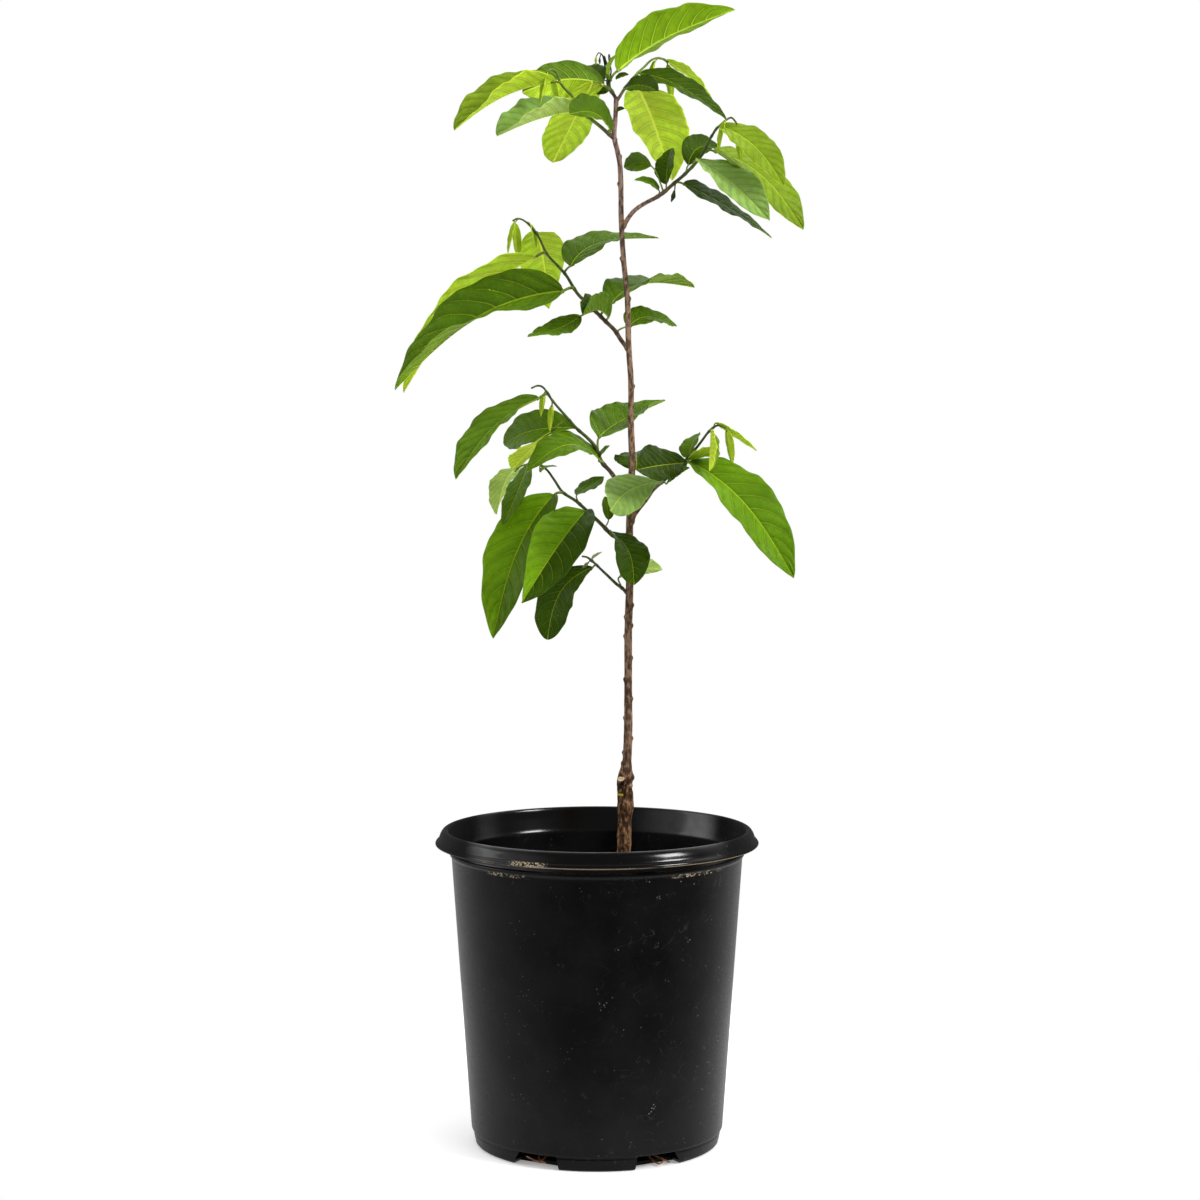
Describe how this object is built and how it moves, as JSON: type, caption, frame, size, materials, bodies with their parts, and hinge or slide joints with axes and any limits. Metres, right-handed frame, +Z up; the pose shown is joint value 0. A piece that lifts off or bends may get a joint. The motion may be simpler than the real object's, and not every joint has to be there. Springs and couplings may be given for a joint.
{
  "type": "potted sugar apple tree",
  "caption": "Young grafted fruit tree with a thin bare trunk, drooping broad leaves on short boughs and a tapered nursery pot with a rolled rim.",
  "frame": {"origin": "centre of the flat underside of the pot", "axes": "+Z up along the pot's axis, -Y to the front, +X to the right seen from the front"},
  "size_m": [0.3358, 0.27, 0.9482],
  "materials": {
    "pot_plastic": "satin black moulded plastic with scuffs and dried soil marks",
    "potting_mix": "moist bark potting mix",
    "bark": "thin young bark with pale pores",
    "foliage": "soft satin leaves, glossier above and paler below"
  },
  "bodies": {
    "root": {"pot": "pot_plastic", "potting_mix": "potting_mix", "trunk": "bark", "bough_upper_right": "bark", "bough_middle_left": "bark", "bough_lower_left": "bark", "bough_low_left": "bark", "bough_lower_right": "bark", "leaves_crown_tip": "foliage", "leaves_top_left": "foliage", "leaves_top_right": "foliage", "leaves_upper_right": "foliage", "leaves_middle_left": "foliage", "leaves_lower_left": "foliage", "leaves_low_left": "foliage", "leaves_foot_left": "foliage", "leaves_lower_right": "foliage", "leaves_trunk_back": "foliage"}
  },
  "joints": []
}
